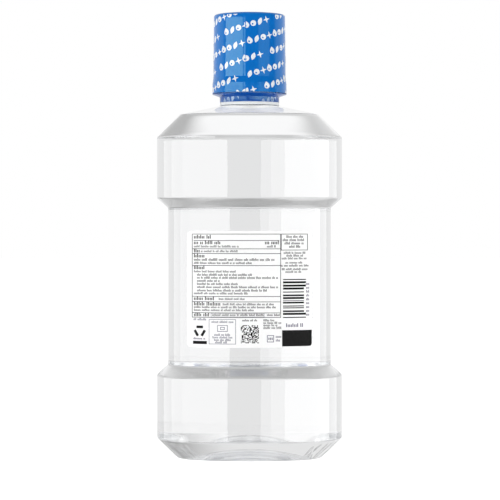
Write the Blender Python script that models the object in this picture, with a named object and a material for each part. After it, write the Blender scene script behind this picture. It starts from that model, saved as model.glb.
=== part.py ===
"""Mouthwash bottle: a blow-moulded bottle with a narrow waist, whose screw cap is also the dosing cup.

Metres, +Z up. The origin is the middle of the foot on which the bottle stands.
The side that carries the back label faces -Y. The cap turns about +Z and rises by its thread's pitch.
"""

import math

import bmesh
import bpy
from mathutils import Matrix, Vector

MM = 0.001
FULL_TURN = 2 * math.pi

# Clearances: between pieces that rest on each other, and between threads that run in each other
SEAT_GAP = 0.3 * MM
RUN_GAP = 0.35 * MM
# How far a swept thread or rib is sunk into the wall that it grows from
ROOT_SINK = 0.5 * MM
# Points closer than this are one point
WELD = 0.001 * MM

# Bottle body, seen from above: a rounded oblong, drawn as a superellipse (exponent 2 is an ellipse)
BODY_WIDTH = 103.0 * MM
BODY_DEPTH = 76.0 * MM
PLAN_EXPONENT = 2.5
BODY_WALL = 0.6 * MM

# Bottle body, from the foot up
HEEL_INSET = 11.0 * MM
HEEL_HEIGHT = 11.0 * MM
LOWER_BAND_HEIGHT = 34.8 * MM
LOWER_STEP_HEIGHT = 5.7 * MM
WAIST_INSET = 6.2 * MM
WAIST_HEIGHT = 86.9 * MM
UPPER_STEP_HEIGHT = 5.4 * MM
UPPER_BAND_HEIGHT = 33.8 * MM
SHOULDER_INSET = 12.9 * MM
SHOULDER_HEIGHT = 12.7 * MM
CROWN_RISE = 4.6 * MM
EDGE_RADIUS = 1.2 * MM
FOOT_RADIUS = 1.4 * MM

# Base: a flat land all round, and a dome pushed up inside it with the gate mark of the preform
FOOT_LAND = 2.5 * MM
PUSH_UP_HEIGHT = 10.5 * MM
DOME_EXPONENT = 2.2
GATE_RADIUS = 2.2 * MM
GATE_HEIGHT = 0.7 * MM

# Neck: a short stem, the support ring, and the finish that carries the thread
BORE_RADIUS = 12.6 * MM
NECK_WALL = 2.2 * MM
STEM_SWELL = 0.6 * MM
STEM_HEIGHT = 3.8 * MM
STEM_FILLET = 2.0 * MM
RING_PROUD = 1.3 * MM
RING_HEIGHT = 1.6 * MM
RING_CHAMFER = 0.4 * MM
FINISH_HEIGHT = 18.0 * MM
RIM_CHAMFER = 0.5 * MM

# Thread, on the neck and inside the cap alike
THREAD_PITCH = 4.2 * MM
THREAD_HEIGHT = 1.1 * MM
THREAD_START = 6.0 * MM
THREAD_ROOT_SHARE = 0.48
THREAD_CREST_SHARE = 0.22
NECK_THREAD_TURNS = 1.5
CAP_THREAD_TURNS = 1.2
CAP_THREAD_LEAD_TURNS = 0.15
THREAD_RUN_OUT_TURNS = 0.08

# Contents: how far above the crown the mouthwash stands in the neck
FILL_ABOVE_CROWN = 1.0 * MM

# Dosing cup, the inner half of the cap
CUP_WALL = 1.1 * MM
CUP_RADIUS = 12.9 * MM
CUP_DEPTH = 22.6 * MM
CUP_CORNER = 1.5 * MM
LEDGE_THICKNESS = 1.2 * MM
FLANGE_PROUD = 0.55 * MM
FLANGE_HEIGHT = 1.4 * MM
FILL_LINE_DEPTH = 19.4 * MM
FILL_LINE_WIDTH = 0.7 * MM
FILL_LINE_PROUD = 0.25 * MM

# Foam liner that the cup presses on the rim
LINER_THICKNESS = 1.2 * MM

# Outer shell of the cap
CAP_STAND_OFF = 1.8 * MM
SHELL_WALL = 1.2 * MM
SHELL_TOP = 1.3 * MM
SHELL_CORNER = 1.0 * MM
SHELL_DRAFT = 0.3 * MM
SNAP_BEAD_HEIGHT = 0.8 * MM
SNAP_BEAD_PROUD = 0.6 * MM
SKIRT_RING_HEIGHT = 5.3 * MM
SKIRT_RING_SLOPE = 3.4 * MM
SKIRT_RING_PROUD = 0.5 * MM
GRIP_RIB_HEIGHT = 0.3 * MM
GRIP_TOP_MARGIN = 3.0 * MM
SHELL_SIDES = 72
SMOOTH_PAD_ANGLE = math.radians(24)
FIN_COUNT = 8
FIN_THICKNESS = 1.0 * MM

# Shrink band over the cap and the neck, in two pieces that part along its tear line
FILM = 0.3 * MM
LIP_WIDTH = 3.6 * MM
BAND_SHOULDER_DROP = 1.4 * MM
BAND_HEM_GAP = 0.6 * MM

# Back label
LABEL_WIDTH = 68.0 * MM
LABEL_HEIGHT = 63.5 * MM
LABEL_ABOVE_WAIST = 10.8 * MM
LABEL_CORNER = 2.4 * MM
LABEL_FILM = 0.2 * MM

# How finely round shapes are cut
BODY_SIDES = 48
CUP_SIDES = 48
THREAD_STEPS_PER_TURN = 24
ARC_STEPS = 2
DOME_SHARES = (0.25, 0.5, 0.75, 1.0)

# Heights that follow from the sizes above
Z_LOWER_BAND = HEEL_HEIGHT
Z_LOWER_STEP = Z_LOWER_BAND + LOWER_BAND_HEIGHT
Z_WAIST = Z_LOWER_STEP + LOWER_STEP_HEIGHT
Z_UPPER_STEP = Z_WAIST + WAIST_HEIGHT
Z_UPPER_BAND = Z_UPPER_STEP + UPPER_STEP_HEIGHT
Z_SHOULDER = Z_UPPER_BAND + UPPER_BAND_HEIGHT
Z_CROWN = Z_SHOULDER + SHOULDER_HEIGHT
Z_STEM = Z_CROWN + CROWN_RISE
Z_RING = Z_STEM + STEM_HEIGHT
Z_FINISH = Z_RING + RING_HEIGHT
Z_RIM = Z_FINISH + FINISH_HEIGHT
Z_THREAD = Z_FINISH + THREAD_START
Z_FILL = Z_STEM + FILL_ABOVE_CROWN
Z_LINER = Z_RIM + SEAT_GAP
Z_LEDGE = Z_LINER + LINER_THICKNESS + SEAT_GAP
Z_CUP_TOP = Z_LEDGE + CUP_DEPTH
Z_SHELL_UNDERSIDE = Z_CUP_TOP + CUP_WALL + SEAT_GAP
Z_CAP_TOP = Z_SHELL_UNDERSIDE + SHELL_TOP
Z_CAP_BOTTOM = Z_FINISH + CAP_STAND_OFF
Z_FLANGE = Z_CAP_BOTTOM + SNAP_BEAD_HEIGHT + SEAT_GAP

# Radii and half widths that follow
HALF_WIDTH = BODY_WIDTH / 2
SHOULDER_HALF = HALF_WIDTH - SHOULDER_INSET
WAIST_HALF = HALF_WIDTH - WAIST_INSET
FOOT_HALF = HALF_WIDTH - HEEL_INSET
DOME_HALF = FOOT_HALF - FOOT_LAND
NECK_RADIUS = BORE_RADIUS + NECK_WALL
STEM_RADIUS = NECK_RADIUS + STEM_SWELL
RING_RADIUS = NECK_RADIUS + RING_PROUD
SKIRT_RADIUS = NECK_RADIUS + THREAD_HEIGHT + RUN_GAP
CUP_SKIRT_RADIUS = SKIRT_RADIUS + CUP_WALL
FLANGE_RADIUS = CUP_SKIRT_RADIUS + FLANGE_PROUD
CUP_OUTER_RADIUS = CUP_RADIUS + CUP_WALL
SHELL_INNER_RADIUS = FLANGE_RADIUS + SEAT_GAP
SHELL_RADIUS = SHELL_INNER_RADIUS + SHELL_WALL
SHELL_TOP_RADIUS = SHELL_RADIUS - SHELL_DRAFT
GRIP_RADIUS = SHELL_RADIUS + GRIP_RIB_HEIGHT
GRIP_TOP_RADIUS = SHELL_TOP_RADIUS + GRIP_RIB_HEIGHT
SKIRT_RING_RADIUS = GRIP_RADIUS + SKIRT_RING_PROUD


def circle_ring(radius, z, rib=0.0):
    """A turned piece's ring: half width, half depth, exponent, height, and how proud its ribs stand."""
    return (radius, radius, 2.0, z, rib)


def body_ring(half_width, z):
    """The bottle's ring at this half width. The crown turns the body's plan into the neck's circle."""
    body_depth = half_width - (BODY_WIDTH - BODY_DEPTH) / 2
    if z < Z_SHOULDER or half_width >= SHOULDER_HALF:
        return (half_width, body_depth, PLAN_EXPONENT, z, 0.0)
    if half_width <= STEM_RADIUS:
        return circle_ring(half_width, z)
    share = (SHOULDER_HALF - half_width) / (SHOULDER_HALF - STEM_RADIUS)
    shoulder_depth = SHOULDER_HALF - (BODY_WIDTH - BODY_DEPTH) / 2
    half_depth = shoulder_depth * (1 - share) + STEM_RADIUS * share
    exponent = PLAN_EXPONENT * (1 - share) + 2 * share
    return (half_width, half_depth, exponent, z, 0.0)


def dome_ring(share, lift):
    """A ring of the pushed-up base, at this share of the way from its middle to the foot."""
    half_depth = DOME_HALF - (BODY_WIDTH - BODY_DEPTH) / 2
    z = PUSH_UP_HEIGHT * (1 - share**DOME_EXPONENT) + lift
    return (DOME_HALF * share, half_depth * share, PLAN_EXPONENT, z, 0.0)


def plan_point(half_width, half_depth, exponent, turn):
    """The point of a superellipse at this turn about +Z."""
    power = 2 / exponent
    x = math.copysign(abs(math.cos(turn)) ** power, math.cos(turn))
    y = math.copysign(abs(math.sin(turn)) ** power, math.sin(turn))
    return half_width * x, half_depth * y


def rounded(corners):
    """The outline through corners (half width, height, radius), with an arc where there is a radius."""
    points = []
    for index, (x, z, radius) in enumerate(corners):
        here = Vector((x, z))
        if radius == 0:
            points.append(here)
            continue
        to_last = Vector(corners[index - 1][:2]) - here
        to_next = Vector(corners[index + 1][:2]) - here
        half_angle = to_last.angle(to_next) / 2
        reach = min(radius / math.tan(half_angle), to_last.length / 2, to_next.length / 2)
        radius = reach * math.tan(half_angle)
        to_last.normalize()
        to_next.normalize()
        centre = here + (to_last + to_next).normalized() * (radius / math.sin(half_angle))
        start = here + to_last * reach - centre
        sweep = start.angle_signed(here + to_next * reach - centre)
        for step in range(ARC_STEPS + 1):
            turn = -sweep * step / ARC_STEPS
            spoke = Vector(
                (
                    start.x * math.cos(turn) - start.y * math.sin(turn),
                    start.x * math.sin(turn) + start.y * math.cos(turn),
                )
            )
            points.append(centre + spoke)
    return points


def moved_in(corners, wall):
    """These corners, which run upwards, moved in by a wall's thickness and left sharp."""
    ways = [(Vector(b[:2]) - Vector(a[:2])).normalized() for a, b in zip(corners, corners[1:])]
    normals = [Vector((-way.y, way.x)) for way in ways]
    inner = []
    for index, corner in enumerate(corners):
        before = normals[max(index - 1, 0)]
        after = normals[min(index, len(normals) - 1)]
        shift = (before + after) * (wall / (1 + before.dot(after)))
        inner.append((corner[0] + shift.x, corner[1] + shift.y, 0))
    return inner


def body_corners():
    """The body's outline from the inner edge of the foot up to the neck's stem."""
    return [
        (DOME_HALF, 0, 0),
        (FOOT_HALF, 0, FOOT_RADIUS),
        (HALF_WIDTH, Z_LOWER_BAND, EDGE_RADIUS),
        (HALF_WIDTH, Z_LOWER_STEP, EDGE_RADIUS),
        (WAIST_HALF, Z_WAIST, EDGE_RADIUS),
        (WAIST_HALF, Z_UPPER_STEP, EDGE_RADIUS),
        (HALF_WIDTH, Z_UPPER_BAND, EDGE_RADIUS),
        (HALF_WIDTH, Z_SHOULDER, EDGE_RADIUS),
        (SHOULDER_HALF, Z_CROWN, EDGE_RADIUS),
        (STEM_RADIUS, Z_STEM, STEM_FILLET),
    ]


def inner_rings(wall, bore, top):
    """The rings of the hollow, or of what fills it, from its top down to the middle of the base."""
    inner = moved_in(body_corners(), wall)
    (shoulder_x, shoulder_z, _), (stem_x, stem_z, _) = inner[-2:]
    slope = (stem_z - shoulder_z) / (shoulder_x - stem_x)
    crown_z = shoulder_z + slope * (shoulder_x - bore)
    half_way = (shoulder_x + stem_x) / 2
    crown = [
        (half_way, (shoulder_z + stem_z) / 2),
        (stem_x, stem_z),
        (bore, crown_z),
        (bore, top),
    ]
    rings = [body_ring(x, z) for x, z in reversed(crown)]
    rings += [body_ring(x, z) for x, z, _ in reversed(inner[:-1])]
    rings += [dome_ring(share, wall) for share in reversed(DOME_SHARES[:-1])]
    return rings + [dome_ring(0, wall)]


def place(verts, turn_of, ring, sides, smooth_pad):
    """Lays a ring on its plan. Off the smooth pads, every other point of a ribbed ring stands proud."""
    half_width, half_depth, exponent, z, rib = ring
    for vert in verts:
        turn = vert[turn_of]
        x, y = plan_point(half_width, half_depth, exponent, turn)
        off_pad = abs(math.cos(turn)) < math.cos(smooth_pad)
        if rib and off_pad and round(turn / FULL_TURN * sides) % 2:
            x, y = plan_point(half_width + rib, half_depth + rib, exponent, turn)
        vert.co = (x, y, z)


def pulled_on(mesh, edges):
    """Extrudes a ring of edges by one step and returns the new ring's points and edges."""
    made = bmesh.ops.extrude_edge_only(mesh, edges=edges)["geom"]
    verts = [item for item in made if isinstance(item, bmesh.types.BMVert)]
    new = set(verts)
    ring = [item for item in made if isinstance(item, bmesh.types.BMEdge) and new.issuperset(item.verts)]
    return verts, ring


def loft(name, rings, sides, smooth_pad=0.0):
    """One closed body through these rings. A ring of no size is a point, and one laid on the first joins it."""
    mesh = bmesh.new()
    turn_of = mesh.verts.layers.float.new("turn")
    verts = bmesh.ops.create_circle(mesh, segments=sides, radius=BODY_WIDTH)["verts"]
    for vert in verts:
        vert[turn_of] = math.atan2(vert.co.y, vert.co.x) % FULL_TURN
    edges = mesh.edges[:]
    place(verts, turn_of, rings[0], sides, smooth_pad)
    for ring in rings[1:]:
        verts, edges = pulled_on(mesh, edges)
        place(verts, turn_of, ring, sides, smooth_pad)
    bmesh.ops.remove_doubles(mesh, verts=mesh.verts[:], dist=WELD)
    bmesh.ops.recalc_face_normals(mesh, faces=mesh.faces[:])
    return finished(name, mesh)


def finished(name, mesh):
    """Turns a bmesh into an object, shaded smooth but for its edges."""
    data = bpy.data.meshes.new(name)
    mesh.to_mesh(data)
    mesh.free()
    data.shade_smooth()
    data.set_sharp_from_angle(angle=math.radians(35))
    obj = bpy.data.objects.new(name, data)
    bpy.context.scene.collection.objects.link(obj)
    return obj


def thread_guide(name, root_radius, outward, first_turn, turns, drop):
    """A screw thread as a swept solid, sunk a little in its wall and fading out at both ends.

    Every thread here follows one helix, which passes angle 0 at Z_THREAD; drop lowers this one below it.
    """
    mesh = bmesh.new()
    corner_of = mesh.verts.layers.int.new("corner")
    root_half = THREAD_PITCH * THREAD_ROOT_SHARE / 2
    crest_half = THREAD_PITCH * THREAD_CREST_SHARE / 2
    sunk = root_radius - outward * ROOT_SINK
    steps = round(turns * THREAD_STEPS_PER_TURN)

    def lay(verts, step):
        done = turns * step / steps
        fade = min(1, done / THREAD_RUN_OUT_TURNS, (turns - done) / THREAD_RUN_OUT_TURNS)
        crest = sunk + outward * (ROOT_SINK / 2 + (THREAD_HEIGHT + ROOT_SINK / 2) * fade)
        turn = (first_turn + done) * FULL_TURN
        z = Z_THREAD + (first_turn + done) * THREAD_PITCH - drop
        spots = ((sunk, -root_half), (crest, -crest_half), (crest, crest_half), (sunk, root_half))
        for vert in verts:
            radius, rise = spots[vert[corner_of]]
            vert.co = (radius * math.cos(turn), radius * math.sin(turn), z + rise)

    verts = bmesh.ops.create_circle(mesh, segments=4, radius=THREAD_HEIGHT)["verts"]
    for corner, vert in enumerate(verts):
        vert[corner_of] = corner
    edges = mesh.edges[:]
    lay(verts, 0)
    for step in range(1, steps + 1):
        verts, edges = pulled_on(mesh, edges)
        lay(verts, step)
    bmesh.ops.holes_fill(mesh, edges=mesh.edges[:])
    bmesh.ops.recalc_face_normals(mesh, faces=mesh.faces[:])
    return as_guide(finished(name, mesh))


def as_guide(obj):
    """Marks an object as a tool for a Boolean, which is not itself a piece."""
    obj.hide_render = True
    obj.display_type = "WIRE"
    return obj


def add(piece, guide):
    """Joins a guide's shape to a piece."""
    union = piece.modifiers.new(guide.name, "BOOLEAN")
    union.operation = "UNION"
    union.object = guide


def bottle_shell():
    """The blow-moulded bottle: foot, body, crown and neck, with its thread."""
    gate_low = PUSH_UP_HEIGHT - GATE_HEIGHT
    outside = [dome_ring(0, -GATE_HEIGHT)]
    outside += [circle_ring(GATE_RADIUS, gate_low), circle_ring(GATE_RADIUS, PUSH_UP_HEIGHT)]
    outside += [dome_ring(share, 0) for share in DOME_SHARES[:-1]]
    crown_middle = ((SHOULDER_HALF + STEM_RADIUS) / 2, (Z_CROWN + Z_STEM) / 2, 0)
    neck = [
        (STEM_RADIUS, Z_RING, 0),
        (RING_RADIUS, Z_RING + RING_CHAMFER, 0),
        (RING_RADIUS, Z_FINISH - RING_CHAMFER, 0),
        (NECK_RADIUS, Z_FINISH, 0),
        (NECK_RADIUS, Z_RIM - RIM_CHAMFER, 0),
        (NECK_RADIUS - RIM_CHAMFER, Z_RIM, 0),
    ]
    corners = body_corners()
    corners = corners[:-1] + [crown_middle, corners[-1]] + neck
    outside += [body_ring(point.x, point.y) for point in rounded(corners)]
    piece = loft("bottle_shell", outside + inner_rings(BODY_WALL, BORE_RADIUS, Z_RIM), BODY_SIDES)
    add(piece, thread_guide("neck_thread_guide", NECK_RADIUS, 1, 0.0, NECK_THREAD_TURNS, 0.0))
    return piece


def mouthwash():
    """What the bottle holds, up into the stem of the neck."""
    clear = BODY_WALL + SEAT_GAP
    rings = inner_rings(clear, BORE_RADIUS - SEAT_GAP, Z_FILL)
    return loft("mouthwash", [circle_ring(0, Z_FILL)] + rings, BODY_SIDES)


def cap_liner():
    """The foam ring between the bottle's rim and the cup's ledge."""
    outer = SKIRT_RADIUS - SEAT_GAP
    rings = [
        circle_ring(CUP_RADIUS, Z_LINER),
        circle_ring(outer, Z_LINER),
        circle_ring(outer, Z_LINER + LINER_THICKNESS),
        circle_ring(CUP_RADIUS, Z_LINER + LINER_THICKNESS),
        circle_ring(CUP_RADIUS, Z_LINER),
    ]
    return loft("cap_liner", rings, CUP_SIDES)


def dosing_cup():
    """The inner cap: a threaded skirt below, a ledge that seals on the rim, and the dosing cup above."""
    z_line = Z_CUP_TOP - FILL_LINE_DEPTH
    line_radius = CUP_RADIUS - FILL_LINE_PROUD
    outline = [
        (0, Z_CUP_TOP + CUP_WALL, 0),
        (CUP_OUTER_RADIUS, Z_CUP_TOP + CUP_WALL, CUP_CORNER),
        (CUP_OUTER_RADIUS, Z_LEDGE + LEDGE_THICKNESS, 0),
        (CUP_SKIRT_RADIUS, Z_LEDGE + LEDGE_THICKNESS, 0),
        (CUP_SKIRT_RADIUS, Z_FLANGE + FLANGE_HEIGHT, 0),
        (FLANGE_RADIUS, Z_FLANGE + FLANGE_HEIGHT, 0),
        (FLANGE_RADIUS, Z_FLANGE, 0),
        (SKIRT_RADIUS, Z_FLANGE, 0),
        (SKIRT_RADIUS, Z_LEDGE, 0),
        (CUP_RADIUS, Z_LEDGE, 0),
        (CUP_RADIUS, z_line - FILL_LINE_WIDTH, 0),
        (line_radius, z_line, 0),
        (CUP_RADIUS, z_line, 0),
        (CUP_RADIUS, Z_CUP_TOP, CUP_CORNER),
        (0, Z_CUP_TOP, 0),
    ]
    piece = loft("dosing_cup", [circle_ring(point.x, point.y) for point in rounded(outline)], CUP_SIDES)
    middle_share = (THREAD_ROOT_SHARE + THREAD_CREST_SHARE) / 2
    drop = THREAD_PITCH * middle_share + SEAT_GAP
    lead, turns = CAP_THREAD_LEAD_TURNS, CAP_THREAD_TURNS
    add(piece, thread_guide("cap_thread_guide", SKIRT_RADIUS, -1, lead, turns, drop))
    return piece


def fins_guide():
    """The fins inside the shell, which centre the dosing cup."""
    mesh = bmesh.new()
    inner = CUP_OUTER_RADIUS + SEAT_GAP
    outer = SHELL_INNER_RADIUS + ROOT_SINK
    low = Z_LEDGE + LEDGE_THICKNESS + SEAT_GAP
    high = Z_SHELL_UNDERSIDE + ROOT_SINK
    at = Matrix.Translation(((outer + inner) / 2, 0, (high + low) / 2))
    size = Matrix.Diagonal((outer - inner, FIN_THICKNESS, high - low, 1))
    for fin in range(FIN_COUNT):
        turn = Matrix.Rotation(FULL_TURN * (fin + 0.5) / FIN_COUNT, 4, "Z")
        bmesh.ops.create_cube(mesh, size=1, matrix=turn @ at @ size)
    return as_guide(finished("fins_guide", mesh))


def cap_shell():
    """The outer cap: a ribbed side with two smooth pads, a wider foot ring, and a bead that holds the cup."""
    ring_low = Z_CAP_BOTTOM + SKIRT_RING_HEIGHT
    ring_high = ring_low + SKIRT_RING_SLOPE
    grip_top = Z_CAP_TOP - GRIP_TOP_MARGIN
    bead_radius = SHELL_INNER_RADIUS - SNAP_BEAD_PROUD
    corner_low = Z_CAP_TOP - SHELL_CORNER
    rings = [
        circle_ring(0, Z_CAP_TOP),
        circle_ring(GRIP_TOP_RADIUS - SHELL_CORNER, Z_CAP_TOP),
        circle_ring(GRIP_TOP_RADIUS, corner_low),
        circle_ring(GRIP_TOP_RADIUS, grip_top),
        circle_ring(SHELL_TOP_RADIUS, grip_top - GRIP_RIB_HEIGHT, GRIP_RIB_HEIGHT),
        circle_ring(SHELL_RADIUS, ring_high + GRIP_RIB_HEIGHT, GRIP_RIB_HEIGHT),
        circle_ring(GRIP_RADIUS, ring_high),
        circle_ring(SKIRT_RING_RADIUS, ring_low),
        circle_ring(SKIRT_RING_RADIUS, Z_CAP_BOTTOM),
        circle_ring(bead_radius, Z_CAP_BOTTOM),
        circle_ring(bead_radius, Z_CAP_BOTTOM + SNAP_BEAD_HEIGHT / 2),
        circle_ring(SHELL_INNER_RADIUS, Z_CAP_BOTTOM + SNAP_BEAD_HEIGHT),
        circle_ring(SHELL_INNER_RADIUS, Z_SHELL_UNDERSIDE),
        circle_ring(0, Z_SHELL_UNDERSIDE),
    ]
    piece = loft("cap_shell", rings, SHELL_SIDES, SMOOTH_PAD_ANGLE)
    add(piece, fins_guide())
    return piece


def cap_band():
    """The shrink band above its tear line: it grips the cap's side and is rolled in over the top."""
    ring_low = Z_CAP_BOTTOM + SKIRT_RING_HEIGHT
    ring_high = ring_low + SKIRT_RING_SLOPE
    skirt = SKIRT_RING_RADIUS + SEAT_GAP
    side = GRIP_RADIUS + SEAT_GAP
    top = GRIP_TOP_RADIUS + SEAT_GAP
    lip = GRIP_TOP_RADIUS - LIP_WIDTH
    lip_z = Z_CAP_TOP + SEAT_GAP
    rings = [
        circle_ring(skirt, Z_CAP_BOTTOM),
        circle_ring(skirt + FILM, Z_CAP_BOTTOM),
        circle_ring(skirt + FILM, ring_low),
        circle_ring(side + FILM, ring_high),
        circle_ring(top + FILM, Z_CAP_TOP - SHELL_CORNER),
        circle_ring(top + FILM - SHELL_CORNER, lip_z + FILM),
        circle_ring(lip, lip_z + FILM),
        circle_ring(lip, lip_z),
        circle_ring(top - SHELL_CORNER, lip_z),
        circle_ring(top, Z_CAP_TOP - SHELL_CORNER),
        circle_ring(side, ring_high),
        circle_ring(skirt, ring_low),
        circle_ring(skirt, Z_CAP_BOTTOM),
    ]
    return loft("cap_band", rings, CUP_SIDES)


def neck_band():
    """The shrink band below its tear line: drawn in under the cap, then down round the neck."""
    cuff = SKIRT_RING_RADIUS + SEAT_GAP
    hug = RING_RADIUS + SEAT_GAP
    top = Z_CAP_BOTTOM - SEAT_GAP
    drawn_in = top - BAND_SHOULDER_DROP
    hem = Z_STEM + BAND_HEM_GAP
    rings = [
        circle_ring(cuff, top),
        circle_ring(hug, drawn_in),
        circle_ring(hug, hem),
        circle_ring(hug + FILM, hem),
        circle_ring(hug + FILM, drawn_in - FILM),
        circle_ring(cuff + FILM, top - FILM),
        circle_ring(cuff + FILM, top),
        circle_ring(cuff, top),
    ]
    return loft("neck_band", rings, CUP_SIDES)


def back_label():
    """The label's film, bent round the waist."""
    half_width = WAIST_HALF + SEAT_GAP
    half_depth = half_width - (BODY_WIDTH - BODY_DEPTH) / 2
    middle_z = Z_WAIST + LABEL_ABOVE_WAIST + LABEL_HEIGHT / 2
    mesh = bmesh.new()
    made = bmesh.ops.create_grid(mesh, x_segments=1, y_segments=1, size=1)["verts"]
    bmesh.ops.scale(mesh, vec=(LABEL_WIDTH / 2, LABEL_HEIGHT / 2, 1), verts=made)
    bmesh.ops.bevel(
        mesh, geom=made, affect="VERTICES", offset=LABEL_CORNER, segments=ARC_STEPS, profile=0.5, material=-1
    )
    for side in range(BODY_SIDES):
        x, y = plan_point(half_width, half_depth, PLAN_EXPONENT, FULL_TURN * side / BODY_SIDES)
        if y < 0 and abs(x) < LABEL_WIDTH / 2:
            geom = mesh.verts[:] + mesh.edges[:] + mesh.faces[:]
            bmesh.ops.bisect_plane(mesh, geom=geom, dist=WELD, plane_co=(x, 0, 0), plane_no=(1, 0, 0))
    for vert in mesh.verts:
        x, up = vert.co.x, vert.co.y
        y = -half_depth * (1 - abs(x / half_width) ** PLAN_EXPONENT) ** (1 / PLAN_EXPONENT)
        vert.co = (x, y, middle_z + up)
    piece = finished("back_label", mesh)
    film = piece.modifiers.new("film", "SOLIDIFY")
    film.thickness = LABEL_FILM
    film.offset = 1
    film.use_even_offset = True
    return piece


def painted(piece, colour, roughness, see_through=0.0):
    """Gives a piece its plastic."""
    material = bpy.data.materials.new(piece.name)
    material.use_nodes = True
    shader = material.node_tree.nodes["Principled BSDF"]
    shader.inputs["Base Color"].default_value = (*colour, 1)
    shader.inputs["Roughness"].default_value = roughness
    shader.inputs["Metallic"].default_value = 0.0
    shader.inputs["Transmission Weight"].default_value = see_through
    piece.data.materials.append(material)


def build():
    painted(bottle_shell(), (0.93, 0.95, 0.96), 0.06, 1.0)
    painted(mouthwash(), (0.95, 0.97, 0.98), 0.02, 1.0)
    painted(back_label(), (0.92, 0.92, 0.92), 0.45)
    painted(neck_band(), (0.02, 0.16, 0.65), 0.25)
    painted(cap_liner(), (0.85, 0.86, 0.86), 0.9)
    painted(dosing_cup(), (0.80, 0.84, 0.88), 0.35)
    painted(cap_shell(), (0.01, 0.13, 0.60), 0.35)
    painted(cap_band(), (0.01, 0.17, 0.70), 0.22)


for old in list(bpy.data.objects):
    bpy.data.objects.remove(old)
build()
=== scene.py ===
"""Mouthwash bottle, seen from the side of its back label. Metres, +Z up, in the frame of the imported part."""

import math
import random

import bmesh
import bpy
from mathutils import Matrix, Vector, noise


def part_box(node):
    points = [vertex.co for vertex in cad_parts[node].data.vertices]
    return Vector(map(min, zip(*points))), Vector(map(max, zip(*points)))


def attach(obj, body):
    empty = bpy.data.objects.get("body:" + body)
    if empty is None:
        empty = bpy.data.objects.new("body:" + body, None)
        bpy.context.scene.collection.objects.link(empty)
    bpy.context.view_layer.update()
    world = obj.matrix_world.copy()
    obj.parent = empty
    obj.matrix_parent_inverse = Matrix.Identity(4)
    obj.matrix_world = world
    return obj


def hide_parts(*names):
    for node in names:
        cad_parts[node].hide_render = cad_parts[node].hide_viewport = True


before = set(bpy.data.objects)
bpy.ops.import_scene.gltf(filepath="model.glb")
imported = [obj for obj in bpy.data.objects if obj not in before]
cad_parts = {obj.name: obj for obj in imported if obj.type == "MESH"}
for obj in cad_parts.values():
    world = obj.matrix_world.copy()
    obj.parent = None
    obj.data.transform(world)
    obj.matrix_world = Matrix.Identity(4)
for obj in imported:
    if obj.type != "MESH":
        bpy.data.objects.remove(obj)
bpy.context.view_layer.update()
MM = 0.001
FULL_TURN = 2 * math.pi


# The bottle is PET, stretch-blown from a moulded preform into a mould with a narrow waist. The preform's
# threaded neck stays as it was moulded, and the base is pushed up into a dome round its gate mark.
shell_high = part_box("bottle_shell")[1]
HALF_WIDTH = shell_high.x
RIM_Z = shell_high.z
NARROWER = shell_high.x - shell_high.y
PLAN_EXPONENT, ROUND_EXPONENT = 2.5, 2
WALL = 0.6 * MM
HEEL_HALF, HEEL_Z = HALF_WIDTH - 11.0 * MM, 11.0 * MM
WAIST_HALF = HALF_WIDTH - 6.2 * MM
LOWER_STEP_Z, WAIST_Z = 45.8 * MM, 51.5 * MM
UPPER_STEP_Z, UPPER_BAND_Z = 138.4 * MM, 143.8 * MM
SHOULDER_Z = 177.6 * MM
CROWN_HALF, CROWN_Z = HALF_WIDTH - 12.9 * MM, 190.3 * MM
STEM_RADIUS, STEM_Z = 15.4 * MM, 195.3 * MM
NECK_RADIUS, BORE_RADIUS = 14.8 * MM, 12.6 * MM
RING_RADIUS, RING_Z, FINISH_Z = 16.1 * MM, 198.7 * MM, 200.3 * MM
DOME_HALF, DOME_HEIGHT = HEEL_HALF - 2.5 * MM, 10.5 * MM
DOME_EXPONENT, DOME_THICKER = 2.2, 3
DOME_STEPS, GATE_STEPS = 24, 3
GATE_RADIUS, GATE_DEPTH = 2.2 * MM, 0.7 * MM
THREAD_Z, THREAD_PITCH, THREAD_TURNS, THREAD_STEPS = 206.3 * MM, 4.2 * MM, 1.5, 120
THREAD_HEIGHT, THREAD_ROOT, THREAD_CREST = 1.1 * MM, 1.9 * MM, 0.8 * MM
EDGE, SOFT_EDGE, TIGHT_EDGE = 1.2 * MM, 1.4 * MM, 0.4 * MM
BOTTLE_SIDES = 176
STRETCH, WELD = 2.4 * MM, 0.001 * MM


def outline(corners, arc_steps=6):
    """The polyline through (distance, height, edge radius) corners, with an arc where there is a radius."""
    points = []
    for index, (x, z, radius) in enumerate(corners):
        here = Vector((x, z))
        if radius == 0:
            points.append(here)
            continue
        to_last = Vector(corners[index - 1][:2]) - here
        to_next = Vector(corners[index + 1][:2]) - here
        half_angle = to_last.angle(to_next) / 2
        reach = min(radius / math.tan(half_angle), to_last.length / 2, to_next.length / 2)
        start, end = here + to_last.normalized() * reach, here + to_next.normalized() * reach
        middle = to_last.normalized() + to_next.normalized()
        centre = here + middle.normalized() * (reach / math.cos(half_angle))
        sweep = (start - centre).angle_signed(end - centre)
        for step in range(arc_steps + 1):
            turn = Matrix.Rotation(-sweep * step / arc_steps, 2)
            points.append(centre + turn @ (start - centre))
    return points


def stretched(points, longest):
    """The same polyline with no stretch longer than this, so that light bends evenly across it."""
    fine = [points[0]]
    for last, point in zip(points, points[1:]):
        pieces = max(1, math.ceil((point - last).length / longest))
        fine += [last.lerp(point, piece / pieces) for piece in range(1, pieces + 1)]
    return fine


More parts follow.
